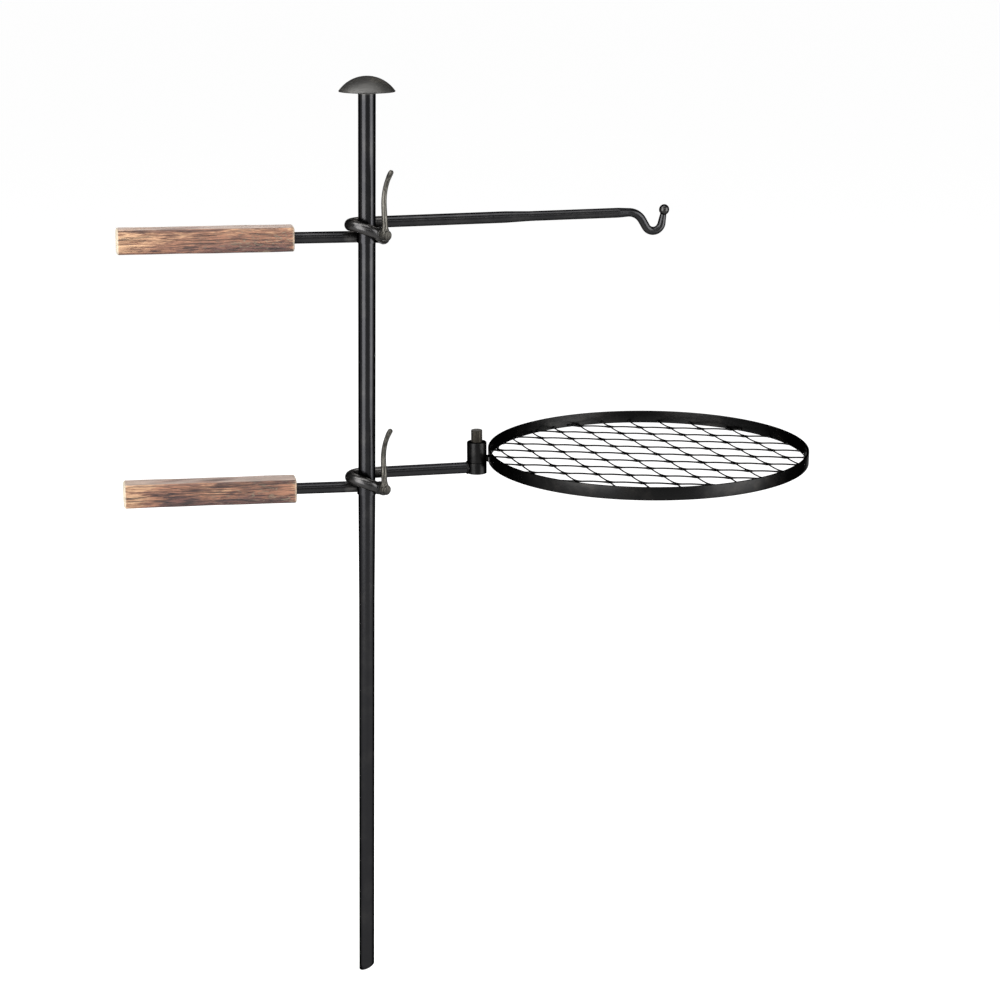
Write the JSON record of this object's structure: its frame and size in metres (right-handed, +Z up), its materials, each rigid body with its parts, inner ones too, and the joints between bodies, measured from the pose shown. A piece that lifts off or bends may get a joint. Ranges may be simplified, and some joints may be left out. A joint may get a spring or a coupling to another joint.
{
  "type": "campfire grill",
  "caption": "Driven stake with two sliding, swinging arms of round rod: one ends in a kettle hook, the other carries a round lift-off grate; lever screws lock them.",
  "frame": {"origin": "on the stake's axis at ground level, where the driven part ends", "axes": "+Z up along the stake, +X along both long arms towards the grate, +Y to the side on which the arms pass the stake"},
  "size_m": [0.8569, 0.4, 1.151],
  "materials": {
    "stake_steel": "black satin",
    "arm_steel": "black satin, worn",
    "grate_steel": "black, heat-dulled",
    "lever_steel": "bare, drawn",
    "screw_steel": "zinc plated",
    "grip_wood": "flame-burnt and oiled"
  },
  "bodies": {
    "stake": {"stake_pole": "stake_steel", "strike_cap": "stake_steel", "strike_cap_weld": "stake_steel"},
    "upper_slider": {"upper_guide_sleeve": "arm_steel"},
    "upper_arm": {"upper_arm_rod": "arm_steel", "upper_hook_ball": "arm_steel", "upper_grip": "grip_wood", "upper_grip_washer": "screw_steel", "upper_grip_screw": "screw_steel", "upper_lock_boss": "arm_steel", "upper_lock_boss_weld": "arm_steel"},
    "upper_lock": {"upper_lock_screw": "screw_steel", "upper_lock_lever": "lever_steel"},
    "lower_slider": {"lower_guide_sleeve": "arm_steel"},
    "lower_arm": {"lower_arm_rod": "arm_steel", "lower_grip": "grip_wood", "lower_grip_washer": "screw_steel", "lower_grip_screw": "screw_steel", "lower_lock_boss": "arm_steel", "lower_lock_boss_weld": "arm_steel", "arm_socket": "arm_steel", "arm_socket_weld": "arm_steel"},
    "lower_lock": {"lower_lock_screw": "screw_steel", "lower_lock_lever": "lever_steel"},
    "pivot": {"pivot_pin": "arm_steel"},
    "grate": {"grate_sleeve": "grate_steel", "grate_bracket": "grate_steel", "grate_bracket_welds": "grate_steel", "grate_band": "grate_steel", "grate_mesh": "grate_steel", "grate_mesh_welds": "grate_steel"}
  },
  "joints": [
    {"name": "upper_height", "type": "slide", "parent": "stake", "child": "upper_slider", "axis": [0, 0, 1], "range_m": [-0.1, 0.08]},
    {"name": "upper_swing", "type": "hinge", "parent": "upper_slider", "child": "upper_arm", "pos_m": [0, 0, 0.659], "axis": [0, 0, 1], "continuous": true},
    {"name": "upper_lock_turn", "type": "hinge", "parent": "upper_arm", "child": "upper_lock", "pos_m": [0, 0, 0.66699], "axis": [0.5299, -0.848, 0], "range_deg": [0, 120]},
    {"name": "lower_height", "type": "slide", "parent": "stake", "child": "lower_slider", "axis": [0, 0, 1], "range_m": [-0.2, 0.1]},
    {"name": "lower_swing", "type": "hinge", "parent": "lower_slider", "child": "lower_arm", "pos_m": [0, 0, 0.348], "axis": [0, 0, 1], "continuous": true},
    {"name": "lower_lock_turn", "type": "hinge", "parent": "lower_arm", "child": "lower_lock", "pos_m": [0, 0, 0.35599], "axis": [0.5299, -0.848, 0], "range_deg": [0, 120]},
    {"name": "grate_swing", "type": "hinge", "parent": "lower_arm", "child": "pivot", "pos_m": [0.14122, 0.02, 0.36771], "axis": [-0.0192, 0, 0.9998], "range_deg": [-75, 100]},
    {"name": "grate_lift", "type": "slide", "parent": "pivot", "child": "grate", "axis": [-0.0192, 0, 0.9998], "range_m": [0, 0.045]}
  ]
}
